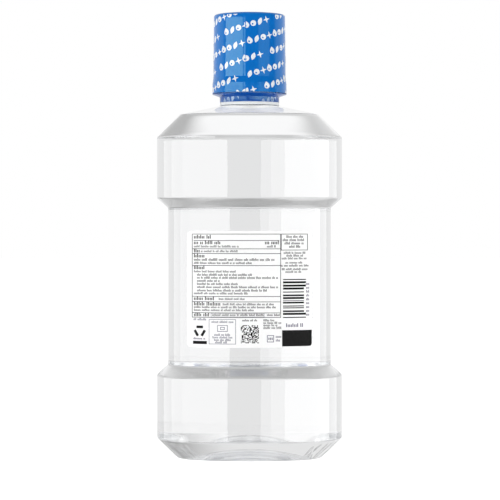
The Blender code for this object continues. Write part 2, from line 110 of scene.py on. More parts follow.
def set_in(corners, wall):
    """The corners of a rising outline moved in by a wall, with the edge radii that keep the wall even."""
    ways = [(Vector(b[:2]) - Vector(a[:2])).normalized() for a, b in zip(corners, corners[1:])]
    normals = [Vector((-way.y, way.x)) for way in ways]
    inner = []
    for index, (x, z, radius) in enumerate(corners):
        before, after = normals[max(index - 1, 0)], normals[min(index, len(normals) - 1)]
        shift = (before + after) * (wall / (1 + before.dot(after)))
        hollow = before.cross(after) < 0 if index else False
        inner.append((x + shift.x, z + shift.y, radius and radius + (wall if hollow else -wall)))
    return inner


def spun(points, sides):
    """A bmesh of this outline spun once about the bottle's axis."""
    mesh = bmesh.new()
    verts = [mesh.verts.new((x, 0, z)) for x, z in points]
    edges = [mesh.edges.new(pair) for pair in zip(verts, verts[1:])]
    bmesh.ops.spin(
        mesh, geom=verts + edges, cent=(0, 0, 0), axis=(0, 0, 1), angle=FULL_TURN, steps=sides, use_merge=True
    )
    bmesh.ops.remove_doubles(mesh, verts=mesh.verts[:], dist=WELD)
    bmesh.ops.recalc_face_normals(mesh, faces=mesh.faces[:])
    return mesh


def plan(half_width, z):
    """Half depth and exponent of the bottle's plan where it is this wide: oblong, but round at the ends."""
    if z < DOME_HEIGHT - WALL and half_width < GATE_RADIUS + WALL:
        return half_width, ROUND_EXPONENT
    if z < DOME_HEIGHT + WALL * (1 + DOME_THICKER) and half_width < DOME_HALF:
        return half_width * (DOME_HALF - NARROWER) / DOME_HALF, PLAN_EXPONENT
    if z < SHOULDER_Z or half_width >= CROWN_HALF:
        return half_width - NARROWER, PLAN_EXPONENT
    share = min(1, (CROWN_HALF - half_width) / (CROWN_HALF - STEM_RADIUS))
    half_depth = (CROWN_HALF - NARROWER) * (1 - share) + STEM_RADIUS * share
    return (half_depth if share < 1 else half_width), PLAN_EXPONENT * (1 - share) + ROUND_EXPONENT * share


def pressed(mesh):
    """Presses a spun shape into the bottle's oblong plan."""
    for vert in mesh.verts:
        half_width = math.hypot(vert.co.x, vert.co.y)
        turn = math.atan2(vert.co.y, vert.co.x)
        half_depth, exponent = plan(half_width, vert.co.z)
        across, along = math.cos(turn), math.sin(turn)
        vert.co.x = math.copysign(half_width * abs(across) ** (2 / exponent), across)
        vert.co.y = math.copysign(half_depth * abs(along) ** (2 / exponent), along)
    return mesh


def piece(name, mesh, angle=35):
    """Turns a finished bmesh into an object, smooth but for edges sharper than this angle."""
    data = bpy.data.meshes.new(name)
    mesh.to_mesh(data)
    mesh.free()
    data.shade_smooth()
    data.set_sharp_from_angle(angle=math.radians(angle))
    obj = bpy.data.objects.new(name, data)
    bpy.context.scene.collection.objects.link(obj)
    return obj


def colour(code):
    """A linear colour from an sRGB hex code."""
    parts = [int(code[place : place + 2], 16) / 255 for place in (1, 3, 5)]
    linear = [part / 12.92 if part <= 0.04045 else ((part + 0.055) / 1.055) ** 2.4 for part in parts]
    return (*linear, 1)


def add(material, kind, values=None, links=None, **fields):
    """Adds one shader node to a material or world, with its socket values, its links and its fields."""
    made = material.node_tree.nodes.new("ShaderNode" + kind)
    for field, value in fields.items():
        setattr(made, field, value)
    for socket, value in (values or {}).items():
        made.inputs[socket].default_value = value
    for socket, source in (links or {}).items():
        material.node_tree.links.new(source, made.inputs[socket])
    return made


def new_material(name):
    """An empty node material with its output, and the Object coordinates that its patterns read."""
    material = bpy.data.materials.new(name)
    material.use_nodes = True
    material.node_tree.nodes.clear()
    place = add(material, "TexCoord").outputs["Object"]
    return material, place, add(material, "OutputMaterial").inputs["Surface"]


def coat_with(obj, material, body):
    """Gives a piece its material and record slot, and lets it ride on its body."""
    obj.data.materials.append(material)
    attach(obj, body)


def dome(inset, first=0):
    """The pushed-up base from its middle to the foot, moved up by a wall that is thickest in its middle."""
    points = []
    for step in range(first, DOME_STEPS):
        share = step / DOME_STEPS
        thicker = inset * (1 + DOME_THICKER * (1 - share**2))
        points.append(Vector((DOME_HALF * share, DOME_HEIGHT * (1 - share**DOME_EXPONENT) + thicker)))
    return points


body_corners = [
    (DOME_HALF, 0, 0),
    (HEEL_HALF, 0, SOFT_EDGE),
    (HALF_WIDTH, HEEL_Z, EDGE),
    (HALF_WIDTH, LOWER_STEP_Z, EDGE),
    (WAIST_HALF, WAIST_Z, EDGE),
    (WAIST_HALF, UPPER_STEP_Z, EDGE),
    (HALF_WIDTH, UPPER_BAND_Z, EDGE),
    (HALF_WIDTH, SHOULDER_Z, EDGE),
    (CROWN_HALF, CROWN_Z, EDGE),
    (STEM_RADIUS, STEM_Z, EDGE),
]
neck_corners = [
    (STEM_RADIUS, RING_Z, TIGHT_EDGE),
    (RING_RADIUS, RING_Z + TIGHT_EDGE, TIGHT_EDGE),
    (RING_RADIUS, FINISH_Z - TIGHT_EDGE, TIGHT_EDGE),
    (NECK_RADIUS, FINISH_Z, TIGHT_EDGE),
    (NECK_RADIUS, RIM_Z, TIGHT_EDGE),
    (BORE_RADIUS, RIM_Z, TIGHT_EDGE),
]


def hollow(wall, bore, top):
    """The inside of the bottle at this depth in its wall, from the middle of the base up to this height."""
    inner = set_in(body_corners, wall)
    (crown_x, crown_z, _), (stem_x, stem_z, _) = inner[-2:]
    mouth_z = stem_z + (stem_z - crown_z) / (crown_x - stem_x) * (stem_x - bore)
    return dome(wall) + outline(inner[:-1] + [(bore, mouth_z, EDGE), (bore, top, 0)])


GATE_Z = DOME_HEIGHT - GATE_DEPTH
gate_mark = [
    Vector((0, GATE_Z)),
    Vector((GATE_RADIUS, GATE_Z)),
    Vector((GATE_RADIUS + GATE_DEPTH / 2, DOME_HEIGHT)),
]
up_to_bore = outline(body_corners + neck_corners + [(BORE_RADIUS, STEM_Z, 0)])[:-1]
outside = gate_mark + dome(0, GATE_STEPS) + up_to_bore
inside = hollow(WALL, BORE_RADIUS, RIM_Z - EDGE)
bottle_mesh = pressed(spun(stretched(outside + inside[::-1], STRETCH), BOTTLE_SIDES))
bottle = piece("bottle_pet", bottle_mesh)

thread_mesh = bmesh.new()
root_x, crest_x = NECK_RADIUS - WALL / 2, NECK_RADIUS + THREAD_HEIGHT
section = [
    (root_x, -THREAD_ROOT / 2),
    (crest_x, -THREAD_CREST / 2),
    (crest_x, THREAD_CREST / 2),
    (root_x, THREAD_ROOT / 2),
]
ridge = thread_mesh.faces.new([thread_mesh.verts.new((x, 0, THREAD_Z + up)) for x, up in section])
bmesh.ops.spin(
    thread_mesh,
    geom=[ridge, *ridge.verts, *ridge.edges],
    cent=(0, 0, 0),
    axis=(0, 0, 1),
    dvec=(0, 0, THREAD_PITCH * THREAD_TURNS / THREAD_STEPS),
    angle=FULL_TURN * THREAD_TURNS,
    steps=THREAD_STEPS,
)
bmesh.ops.recalc_face_normals(thread_mesh, faces=thread_mesh.faces[:])
thread = piece("neck_thread", thread_mesh)

# Clear PET, stretch-blown: bright and hard-edged, with faint waves where the hot wall touched the mould
# unevenly, and fine folds up the heel's four corners, where the thick foot cooled last
PET_WAVE, FOLD, FOLD_LENGTH = 11 * MM, 5.5 * MM, 16 * MM
FOLD_WIDTH_SHARE, FOLD_DEPTH, FOLD_FADE, FOLD_STRENGTH = 0.09, 0.5 * MM, 3 * MM, 0.6
CORNER_START, CORNER_FULL = math.radians(46), math.radians(55)
pet, place, surface = new_material("clear_pet_blown")
waves = add(pet, "TexNoise", {"Scale": 1 / PET_WAVE, "Detail": 2.0, "Roughness": 0.4}, {"Vector": place})
rolled = add(pet, "Bump", {"Strength": 0.12, "Distance": 0.4 * MM}, {"Height": waves.outputs["Fac"]})
spot = add(pet, "SeparateXYZ", links={0: place})
behind = add(pet, "Math", {1: -1.0}, {0: spot.outputs["Y"]}, operation="MULTIPLY")
turn = add(pet, "Math", links={0: spot.outputs["X"], 1: behind.outputs[0]}, operation="ARCTAN2")
round_foot = add(pet, "Math", {1: HALF_WIDTH / FOLD}, {0: turn.outputs[0]}, operation="MULTIPLY")
up_foot = add(pet, "Math", {1: 1 / FOLD_LENGTH}, {0: spot.outputs["Z"]}, operation="MULTIPLY")
foot = add(pet, "CombineXYZ", links={0: round_foot.outputs[0], 1: up_foot.outputs[0]})
cells = add(pet, "TexVoronoi", {"Scale": 1.0}, {"Vector": foot.outputs[0]}, feature="DISTANCE_TO_EDGE")
fold = add(
    pet,
    "MapRange",
    {1: 0.0, 2: FOLD_WIDTH_SHARE},
    {0: cells.outputs["Distance"]},
    interpolation_type="SMOOTHSTEP",
)
low = add(
    pet,
    "MapRange",
    {1: HEEL_Z, 2: HEEL_Z - FOLD_FADE, 3: 0.0, 4: FOLD_STRENGTH},
    {0: spot.outputs["Z"]},
)
across = add(pet, "Math", links={0: turn.outputs[0]}, operation="SINE")
apart = add(pet, "Math", links={0: across.outputs[0]}, operation="ABSOLUTE")
corner = add(pet, "MapRange", {1: math.sin(CORNER_START), 2: math.sin(CORNER_FULL)}, {0: apart.outputs[0]})
depth = add(pet, "Math", links={0: low.outputs[0], 1: corner.outputs[0]}, operation="MULTIPLY")
folded = add(
    pet,
    "Bump",
    {"Distance": FOLD_DEPTH},
    {"Height": fold.outputs[0], "Strength": depth.outputs[0], "Normal": rolled.outputs["Normal"]},
)
clear = add(
    pet,
    "BsdfPrincipled",
    {"Base Color": colour("#FFFFFF"), "Roughness": 0.015, "IOR": 1.57, "Transmission Weight": 1.0},
    {"Normal": folded.outputs["Normal"]},
)
pet.node_tree.links.new(clear.outputs["BSDF"], surface)
coat_with(bottle, pet, "bottle")
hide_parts("bottle_shell")
coat_with(thread, pet, "bottle")


# The mouthwash is clear and fills the bottle up into the neck. It wets the wall, so its surface is drawn half
# way into the wall, and light bends there once instead of crossing a gap of air.
WETTED = WALL / 2
FILL_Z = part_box("mouthwash")[1].z
filled = hollow(WETTED, BORE_RADIUS + WETTED, FILL_Z) + [Vector((0, FILL_Z))]
mouthwash = piece("mouthwash_clear", pressed(spun(stretched(filled, STRETCH), BOTTLE_SIDES)))

# Clear mouthwash: as good as water, and very faintly uneven where the flavouring oils are dispersed in it
SCHLIEREN = 26 * MM
liquid, place, surface = new_material("clear_mouthwash")
drifts = add(liquid, "TexNoise", {"Scale": 1 / SCHLIEREN, "Detail": 2.0}, {"Vector": place})
tint = add(
    liquid,
    "Mix",
    {6: colour("#FDFEFF"), 7: colour("#FFFFFF")},
    {0: drifts.outputs["Fac"]},
    data_type="RGBA",
)
clear = add(
    liquid,
    "BsdfPrincipled",
    {"Roughness": 0.02, "IOR": 1.333, "Transmission Weight": 1.0},
    {"Base Color": tint.outputs[2]},
)
liquid.node_tree.links.new(clear.outputs["BSDF"], surface)
coat_with(mouthwash, liquid, "bottle")
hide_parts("mouthwash")


# The back label is a white plastic film with rounded corners, stuck on the waist. It carries a ruled table,
# rows of small print, a stack of bars and a panel of dots, here without any lettering.
label_low, label_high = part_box("back_label")
LABEL_WIDTH, LABEL_HEIGHT = label_high.x - label_low.x, label_high.z - label_low.z
LABEL_MIDDLE_Z = (label_low.z + label_high.z) / 2
LABEL_OFF, LABEL_FILM, LABEL_CORNER = 0.04 * MM, 0.12 * MM, 2.4 * MM
INK = 0.02 * MM
LABEL_STEP, LABEL_CORNER_STEPS = 1.5 * MM, 8


def laid(mesh, off):
    """Lays a flat mesh, drawn round the label's middle, on the label's side of the waist, this far off."""
    half_width, half_depth = WAIST_HALF + off, WAIST_HALF - NARROWER + off
    for vert in mesh.verts:
        x, up = vert.co.x, vert.co.y
        y = -half_depth * (1 - abs(x / half_width) ** PLAN_EXPONENT) ** (1 / PLAN_EXPONENT)
        vert.co = (x, y, LABEL_MIDDLE_Z + up)
    return mesh


def backed(mesh, thickness):
    """Gives an open sheet this thickness behind its face, so that it is closed all round."""
    mesh.normal_update()
    bmesh.ops.solidify(mesh, geom=mesh.faces[:], thickness=thickness)
    bmesh.ops.recalc_face_normals(mesh, faces=mesh.faces[:])
    return mesh


sheet = bmesh.new()
flat = Matrix.Diagonal((LABEL_WIDTH, LABEL_HEIGHT, 1, 1))
corners = bmesh.ops.create_grid(sheet, x_segments=1, y_segments=1, size=0.5, matrix=flat)["verts"]
bmesh.ops.bevel(
    sheet,
    geom=corners,
    affect="VERTICES",
    offset=LABEL_CORNER,
    segments=LABEL_CORNER_STEPS,
    profile=0.5,
    material=-1,
)
cuts = round(LABEL_WIDTH / LABEL_STEP)
for cut in range(1, cuts):
    bmesh.ops.bisect_plane(
        sheet,
        geom=sheet.verts[:] + sheet.edges[:] + sheet.faces[:],
        dist=WELD,
        plane_co=(LABEL_WIDTH * (cut / cuts - 0.5), 0, 0),
        plane_no=(1, 0, 0),
    )
label = piece("label_film", backed(laid(sheet, LABEL_OFF + LABEL_FILM), LABEL_FILM))

# White polypropylene label film: an even satin white, very slightly rippled where it was rolled on
LABEL_RIPPLE = 9 * MM
film_white, place, surface = new_material("white_label_film")
ripple = add(film_white, "TexNoise", {"Scale": 1 / LABEL_RIPPLE, "Detail": 2.0}, {"Vector": place})
tint = add(
    film_white,
    "Mix",
    {6: colour("#FCFCFC"), 7: colour("#FFFFFF")},
    {0: ripple.outputs["Fac"]},
    data_type="RGBA",
)
rolled = add(film_white, "Bump", {"Strength": 0.1, "Distance": 0.2 * MM}, {"Height": ripple.outputs["Fac"]})
satin = add(
    film_white,
    "BsdfPrincipled",
    {"Roughness": 0.4, "IOR": 1.49},
    {"Base Color": tint.outputs[2], "Normal": rolled.outputs["Normal"]},
)
film_white.node_tree.links.new(satin.outputs["BSDF"], surface)
coat_with(label, film_white, "bottle")
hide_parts("back_label")


# The print on the label is laid out from tables of places in millimetres from the label's top left corner.
# Rules and frames are thin lines, and each row of small print is a run of upright strokes set in words.
RULE = 0.32 * MM
STROKE_SHARE, PITCH_SHARE, TALL_SHARE = 0.36, 0.62, 1.42
SHORTEST_WORD, LONGEST_WORD, SHARE_OF_TALL_STROKES = 2, 9, 0.3
FINE, PLAIN, BOLD = 0.88 * MM, 1.0 * MM, 1.4 * MM
TABLE_LEFT, TABLE_RIGHT = 2.7 * MM, 51.2 * MM
SIDE_MIDDLE, MARKS_TOP, MARKS_SPACING, MARKS = 58.7, 29, 2.1, 9
BARS_TOP, BARS_BOTTOM, SHORT_BARS_TOP, SHORT_BARS_BOTTOM = 26.2, 47.4, 30, 44
BARS_LEFT, SHORT_BARS_RIGHT, BARS_RIGHT = 52.3 * MM, 63.8 * MM, 64.9 * MM
BAR_HEIGHTS, BAR_GAPS = (0.35, 0.55, 0.9, 1.1), (0.45, 0.7, 1.1)
PATCH_LEFT, PATCH_TOP, PATCH_BOTTOM = 51.8 * MM, 54.0 * MM, 62.8 * MM
PATCH_MARGIN, PATCH_CORNER, PATCH_CORNER_STEPS = 0.1 * MM, 1.4 * MM, 4
DOT, DOTS_A_SIDE, SHARE_OF_DOTS = 0.49 * MM, 20, 0.5
DOTS_LEFT, DOTS_TOP = 29.4 * MM, 51.2 * MM
PLATES, PLATE_LEFT, PLATE_RIGHT = 3, 5.2 * MM, 8.8 * MM
PLATE_TOP, PLATE_BOTTOM, PLATES_MIDDLE = 51.6 * MM, 53.0 * MM, (7.0 * MM, 54.5 * MM)
BASE_LEFT, BASE_TOP, BASE_RIGHT, BASE_BOTTOM = 3.3 * MM, 59.9 * MM, 10.9 * MM, 61.6 * MM
draw = random.Random(7)


def mark(mesh, left, top, right, bottom):
    """A printed rectangle, with enough faces to follow the waist."""
    width, height = right - left, bottom - top
    at = Matrix.Translation(((left + right - LABEL_WIDTH) / 2, (LABEL_HEIGHT - top - bottom) / 2, 0))
    faces = math.ceil(width / LABEL_STEP)
    size = Matrix.Diagonal((width, height, 1, 1))
    return bmesh.ops.create_grid(mesh, x_segments=faces, y_segments=1, size=0.5, matrix=at @ size)["verts"]


def framed(mesh, left, top, right, bottom, line):
    """A printed frame of four lines."""
    mark(mesh, left, top, right, top + line)
    mark(mesh, left, bottom - line, right, bottom)
    mark(mesh, left, top, left + line, bottom)
    mark(mesh, right - line, top, right, bottom)


def small_print(mesh, left, right, middle, height):
    """A row of strokes in words, with some strokes taller than the rest."""
    bottom = middle + height / 2
    while left < right - height:
        for stroke in range(draw.randint(SHORTEST_WORD, LONGEST_WORD)):
            tall = TALL_SHARE if draw.random() < SHARE_OF_TALL_STROKES else 1
            if left < right:
                mark(mesh, left, bottom - height * tall, left + height * STROKE_SHARE, bottom)
            left += height * PITCH_SHARE
        left += height * PITCH_SHARE


ink_mesh, pale_mesh = bmesh.new(), bmesh.new()
frames = (
    (ink_mesh, 2.7, 1.6, 51.2, 47.2, RULE),
    (ink_mesh, 51.2, 1.6, 65.9, 10.6, RULE),
    (pale_mesh, 13, 44.9, 42.2, 46.8, RULE / 2),
    (pale_mesh, 12.0, 48.0, 26.7, 61.6, 0.25 * MM),
    (pale_mesh, 16.6, 51.2, 22.2, 54.8, 0.3 * MM),
    (pale_mesh, 18.2, 52.2, 20.6, 53.8, 0.3 * MM),
    (pale_mesh, 43.6, 56.7, 47.4, 60.5, 0.35 * MM),
)
for mesh, left, top, right, bottom, line in frames:
    framed(mesh, left * MM, top * MM, right * MM, bottom * MM, line)
rules = ((5.1, 0.9), (9.6, 0), (12.2, 0), (18.7, 0), (35.5, 0), (38.4, 0), (44.4, 0))
for top, inset in rules:
    mark(ink_mesh, TABLE_LEFT + inset * MM, top * MM, TABLE_RIGHT - inset * MM, top * MM + RULE)
table_rows = (
    (3.5, 3.8, 13.1, BOLD),
    (6.6, 3.8, 18.5, BOLD),
    (6.6, 42.5, 49.6, BOLD),
    (8.6, 3.8, 28.3, FINE),
    (8.6, 43.6, 48.5, FINE),
    (11.1, 3.8, 6.5, BOLD),
    (11.2, 7.6, 27.3, FINE),
    (13.8, 3.8, 11.4, BOLD),
    (15.8, 3.8, 48.0, PLAIN),
    (17.6, 3.8, 35.4, FINE),
    (20.2, 3.8, 12.0, BOLD),
    (22.2, 3.8, 27.3, FINE),
    (24.0, 5.5, 35.4, FINE),
    (25.6, 5.5, 49.6, FINE),
    (27.3, 5.5, 18.0, FINE),
    (29.0, 5.5, 28.9, FINE),
    (30.7, 5.5, 49.6, FINE),
    (32.5, 5.5, 43.6, FINE),
    (34.1, 3.8, 33.2, FINE),
    (37.0, 3.8, 16.4, BOLD),
    (37.1, 17.4, 31.6, FINE),
    (39.9, 3.8, 19.0, BOLD),
    (40.0, 19.6, 48.0, FINE),
    (41.6, 3.8, 48.5, FINE),
    (43.2, 3.8, 37.6, FINE),
    (45.8, 3.8, 12.0, BOLD),
    (45.8, 13.6, 41.6, FINE),
    (45.8, 43.6, 50.2, FINE),
)
for middle, left, right, height in table_rows:
    small_print(ink_mesh, left * MM, right * MM, middle * MM, height)
side_rows = (
    (3.3, 9, PLAIN),
    (5.1, 13, PLAIN),
    (6.9, 11, PLAIN),
    (8.7, 6, PLAIN),
    (12.1, 12, FINE),
    (13.6, 9, FINE),
    (15.1, 14, FINE),
    (17.4, 10, FINE),
    (19.0, 15, FINE),
    (21.0, 14, FINE),
    (22.4, 10, FINE),
)
for middle, width, height in side_rows:
    small_print(
        ink_mesh, (SIDE_MIDDLE - width / 2) * MM, (SIDE_MIDDLE + width / 2) * MM, middle * MM, height
    )
top = BARS_TOP
while top < BARS_BOTTOM:
    height = draw.choice(BAR_HEIGHTS)
    right = SHORT_BARS_RIGHT if SHORT_BARS_TOP <= top <= SHORT_BARS_BOTTOM else BARS_RIGHT
    mark(ink_mesh, BARS_LEFT, top * MM, right, (top + height) * MM)
    top += height + draw.choice(BAR_GAPS)
beside_bars = [(pale_mesh, MARKS_TOP + MARKS_SPACING * row, 65.0, 66.4, PLAIN) for row in range(MARKS)]
under_bars = [
    (pale_mesh, 51.6, 54.0, 64.9, BOLD),
    (ink_mesh, 48.7, 41.7, 49, FINE),
    (ink_mesh, 50.1, 41.7, 51, FINE),
    (ink_mesh, 51.4, 41.7, 49.5, FINE),
    (ink_mesh, 52.8, 41.7, 52.9, FINE),
    (ink_mesh, 48.7, 30.2, 38.6, FINE),
]
for mesh, middle, left, right, height in beside_bars + under_bars:
    small_print(mesh, left * MM, right * MM, middle * MM, height)

patch = mark(ink_mesh, PATCH_LEFT, PATCH_TOP, LABEL_WIDTH - PATCH_MARGIN, PATCH_BOTTOM)
outer_corner = max(patch, key=lambda vert: vert.co.x - vert.co.y)
bmesh.ops.bevel(
    ink_mesh,
    geom=[outer_corner],
    affect="VERTICES",
    offset=PATCH_CORNER,
    segments=PATCH_CORNER_STEPS,
    profile=0.5,
    material=-1,
)
for column in range(DOTS_A_SIDE):
    for row in range(DOTS_A_SIDE):
        if draw.random() < SHARE_OF_DOTS:
            left, top = DOTS_LEFT + column * DOT, DOTS_TOP + row * DOT
            mark(ink_mesh, left, top, left + DOT, top + DOT)
for side in range(PLATES):
    made = mark(ink_mesh, PLATE_LEFT, PLATE_TOP, PLATE_RIGHT, PLATE_BOTTOM)
    centre = (PLATES_MIDDLE[0] - LABEL_WIDTH / 2, LABEL_HEIGHT / 2 - PLATES_MIDDLE[1], 0)
    bmesh.ops.rotate(
        ink_mesh, verts=made, cent=centre, matrix=Matrix.Rotation(FULL_TURN * side / PLATES, 3, "Z")
    )
mark(ink_mesh, BASE_LEFT, BASE_TOP, BASE_RIGHT, BASE_BOTTOM)
pale_rows = (
    (48.3, 3.6, 10.6, FINE),
    (58.7, 3.6, 10.6, FINE),
    (58.6, 44.4, 46.8, BOLD),
    (49.6, 13.5, 25.2, FINE),
    (56.6, 15, 23.5, FINE),
    (58.0, 14, 24.5, FINE),
    (59.4, 14.8, 23.8, FINE),
    (60.7, 15.5, 23, FINE),
    (57.6, 48.4, 51.0, PLAIN),
    (59.6, 48.4, 51.0, PLAIN),
)
for middle, left, right, height in pale_rows:
    small_print(pale_mesh, left * MM, right * MM, middle * MM, height)

# Flexographic ink: flat and dull beside the film, and a little uneven where the plate pressed less
INK_MOTTLE = 0.8 * MM
for name, mesh, thick_ink, thin_ink in (
    ("label_print", ink_mesh, "#161616", "#2C2C2C"),
    ("label_print_pale", pale_mesh, "#5C5870", "#77738A"),
):
    printed = piece(name, backed(laid(mesh, LABEL_OFF + LABEL_FILM + INK), INK + LABEL_FILM / 2))
    ink, place, surface = new_material(name + "_ink")
    mottle = add(ink, "TexNoise", {"Scale": 1 / INK_MOTTLE, "Detail": 3.0}, {"Vector": place})
    tint = add(
        ink,
        "Mix",
        {6: colour(thick_ink), 7: colour(thin_ink)},
        {0: mottle.outputs["Fac"]},
        data_type="RGBA",
    )
    dull = add(ink, "BsdfPrincipled", {"Roughness": 0.55, "IOR": 1.08}, {"Base Color": tint.outputs[2]})
    ink.node_tree.links.new(dull.outputs["BSDF"], surface)
    coat_with(printed, ink, "bottle")


# The liner is a ring of polyethylene foam, punched from sheet, which the cup's ledge presses on the bottle's
# rim. The dosing cup snaps inside the outer cap and is moulded in uncoloured polypropylene, the cap in blue.
FOAM_CELL, FLOW, MOULD_GRAIN = 0.35 * MM, 7 * MM, 0.3 * MM

# Closed-cell foam: a dull white pitted by its cut cells
foam, place, surface = new_material("polyethylene_foam")
cells = add(foam, "TexVoronoi", {"Scale": 1 / FOAM_CELL}, {"Vector": place})
tint = add(
    foam,
    "Mix",
    {6: colour("#D8DADA"), 7: colour("#F2F3F3")},
    {0: cells.outputs["Distance"]},
    data_type="RGBA",
)
pits = add(foam, "Bump", {"Strength": 0.6, "Distance": 0.1 * MM}, {"Height": cells.outputs["Distance"]})
dull = add(
    foam,
    "BsdfPrincipled",
    {"Roughness": 0.9},
    {"Base Color": tint.outputs[2], "Normal": pits.outputs["Normal"]},
)
foam.node_tree.links.new(dull.outputs["BSDF"], surface)

# Uncoloured polypropylene: milky, with faint flow clouds from the gate
milky, place, surface = new_material("natural_polypropylene_moulded")
clouds = add(milky, "TexNoise", {"Scale": 1 / FLOW, "Detail": 3.0, "Distortion": 1.0}, {"Vector": place})
tint = add(
    milky,
    "Mix",
    {6: colour("#DDE3E6"), 7: colour("#E8EDEF")},
    {0: clouds.outputs["Fac"]},
    data_type="RGBA",
)
soft = add(milky, "MapRange", {3: 0.28, 4: 0.42}, {0: clouds.outputs["Fac"]})
moulded = add(
    milky,
    "BsdfPrincipled",
    {"IOR": 1.49, "Transmission Weight": 0.25},
    {"Base Color": tint.outputs[2], "Roughness": soft.outputs[0]},
)
milky.node_tree.links.new(moulded.outputs["BSDF"], surface)

# Blue polypropylene from a finely eroded mould: an even satin, faintly streaked in colour where it flowed
blue_cap, place, surface = new_material("blue_polypropylene_moulded")
streaks = add(blue_cap, "TexNoise", {"Scale": 1 / FLOW, "Detail": 4.0, "Distortion": 1.5}, {"Vector": place})
tint = add(
    blue_cap,
    "Mix",
    {6: colour("#0A55B4"), 7: colour("#0E5FC2")},
    {0: streaks.outputs["Fac"]},
    data_type="RGBA",
)
grain = add(blue_cap, "TexNoise", {"Scale": 1 / MOULD_GRAIN, "Detail": 2.0}, {"Vector": place})
eroded = add(blue_cap, "Bump", {"Strength": 0.15, "Distance": 0.05 * MM}, {"Height": grain.outputs["Fac"]})
moulded = add(
    blue_cap,
    "BsdfPrincipled",
    {"Roughness": 0.38, "IOR": 1.49},
    {"Base Color": tint.outputs[2], "Normal": eroded.outputs["Normal"]},
)
blue_cap.node_tree.links.new(moulded.outputs["BSDF"], surface)
for node, material in (("cap_liner", foam), ("dosing_cup", milky), ("cap_shell", blue_cap)):
    for place_of_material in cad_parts[node].material_slots:
        place_of_material.material = material


# The shrink film is a printed sleeve, slipped over cap and neck and shrunk on with hot air. It parts at a
# tear line: the upper part turns with the cap, and the lower one stays round the neck, with an unprinted hem.
cap_low, cap_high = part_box("cap_band")
hem_low, hem_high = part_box("neck_band")
FILM = 0.12 * MM
FILM_RADIUS = cap_high.x
SKIRT_TOP_Z, SLOPE_TOP_Z = cap_low.z + 5.3 * MM, cap_low.z + 8.7 * MM
SIDE_RADIUS, TOP_RADIUS, LIP_RADIUS = FILM_RADIUS - 0.5 * MM, FILM_RADIUS - 0.8 * MM, 15.8 * MM
NECK_FILM_RADIUS, DRAWN_IN_Z = 16.7 * MM, hem_high.z - 1.7 * MM
SKIRT_EDGE, SLOPE_EDGE, TOP_EDGE, TUCK_EDGE, CUFF_EDGE = 1.0 * MM, 1.5 * MM, 1.3 * MM, 0.7 * MM, 0.3 * MM
FILM_SIDES = 240
SEAM_ANGLE, SEAM_FADE, SEAM_STEP = math.radians(-6), math.radians(9), 0.07 * MM
DENT, DENTS_ROUND, DENTS_UP = 0.09 * MM, 2.2, 14 * MM

cap_outline = outline(
    [
        (FILM_RADIUS, cap_low.z, 0),
        (FILM_RADIUS, SKIRT_TOP_Z, SKIRT_EDGE),
        (SIDE_RADIUS, SLOPE_TOP_Z, SLOPE_EDGE),
        (TOP_RADIUS, cap_high.z, TOP_EDGE),
        (LIP_RADIUS, cap_high.z, 0),
    ]
)
neck_outline = outline(
    [
        (NECK_FILM_RADIUS, hem_low.z, 0),
        (NECK_FILM_RADIUS, DRAWN_IN_Z, TUCK_EDGE),
        (FILM_RADIUS, hem_high.z - CUFF_EDGE, CUFF_EDGE),
        (FILM_RADIUS, hem_high.z, 0),
    ]
)


def shrunk(x, y, z, off=0.0):
    """A point of the film drawn in by the shallow dents of shrinking, and by the step at its glued seam."""
    turn = math.atan2(x, -y)
    radius = math.hypot(x, y)
    spot = Vector((math.cos(turn) * DENTS_ROUND, math.sin(turn) * DENTS_ROUND, z / DENTS_UP))
    dent = DENT * (0.5 + 0.5 * noise.noise(spot))
    past_seam = (turn - SEAM_ANGLE) / SEAM_FADE
    dent += SEAM_STEP * (past_seam if 0 <= past_seam <= 1 else 1)
    shrink = (radius - dent + off) / radius
    return Vector((x * shrink, y * shrink, z))


def sleeve(name, points):
    """A closed sleeve of film on this outline."""
    ways = [(b - a).normalized() for a, b in zip(points, points[1:])]
    ways.append(ways[-1])
    inner = [point + Vector((-way.y, way.x)) * FILM for point, way in zip(points, ways)]
    mesh = spun(stretched(points + inner[::-1] + points[:1], STRETCH), FILM_SIDES)
    for vert in mesh.verts:
        vert.co = shrunk(*vert.co)
    return piece(name, mesh)


cap_film = sleeve("cap_film", cap_outline)
neck_film = sleeve("neck_film", neck_outline)

